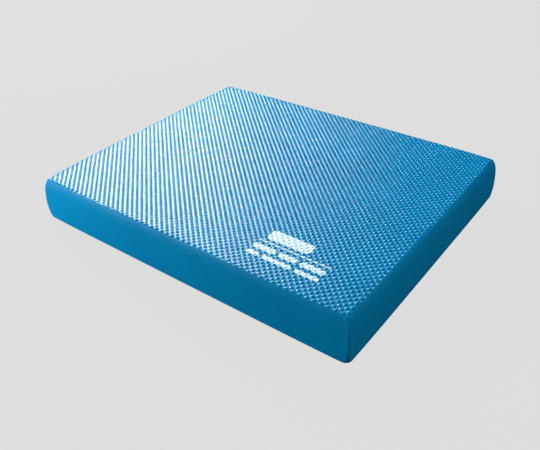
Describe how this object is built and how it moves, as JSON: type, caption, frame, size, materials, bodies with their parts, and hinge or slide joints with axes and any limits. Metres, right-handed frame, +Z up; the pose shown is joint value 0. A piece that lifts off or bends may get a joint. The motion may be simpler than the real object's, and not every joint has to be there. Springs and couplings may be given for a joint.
{
  "type": "balance pad",
  "caption": "Rectangular soft foam balance pad for standing exercises, with a nubbed non-slip top, smooth rounded sides and a plain printed mark.",
  "frame": {"origin": "on the floor, under the middle of the pad", "axes": "+Z up, out of the nubbed standing face; +X along the long side; -Y is the side that the printed mark reads from"},
  "size_m": [0.5, 0.41, 0.0622],
  "materials": {
    "foam_core_blue": "matte",
    "skin_top_blue": "satin",
    "skin_side_blue": "satin",
    "skin_base_blue": "matte",
    "ink_white": "satin"
  },
  "bodies": {
    "root": {"foam_core": "foam_core_blue", "top_skin": "skin_top_blue", "side_skin": "skin_side_blue", "bottom_skin": "skin_base_blue", "print_block": "ink_white", "print_rule": "ink_white", "print_upper_line": "ink_white", "print_lower_line": "ink_white"}
  },
  "joints": []
}
